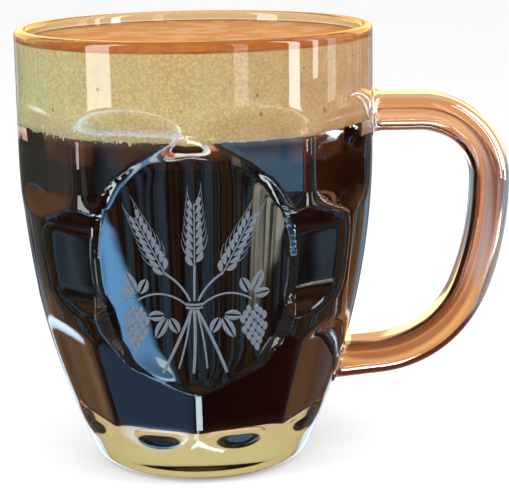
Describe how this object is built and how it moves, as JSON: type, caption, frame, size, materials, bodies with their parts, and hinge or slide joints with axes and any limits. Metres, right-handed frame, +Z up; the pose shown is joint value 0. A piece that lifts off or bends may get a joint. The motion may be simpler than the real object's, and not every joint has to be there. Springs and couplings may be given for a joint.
{
  "type": "pint of mild ale in a dimpled mug",
  "caption": "Dimpled pressed-glass pint mug with a handle and a round front panel, full of dark mild ale under a deep tan head.",
  "frame": {"origin": "middle of the mug's base, on the mug's axis, at the height of the surface that it stands on", "axes": "+Z up along the mug's axis, +X towards the handle, -Y out of the round front panel"},
  "size_m": [0.1381, 0.0996, 0.124],
  "materials": {
    "glass": "clear pressed soda-lime glass, smooth",
    "ale": "near-black ale with a deep ruby edge",
    "head": "fine tan foam, matt"
  },
  "bodies": {
    "root": {"pint_glass": "glass", "ale": "ale", "head": "head"}
  },
  "joints": []
}
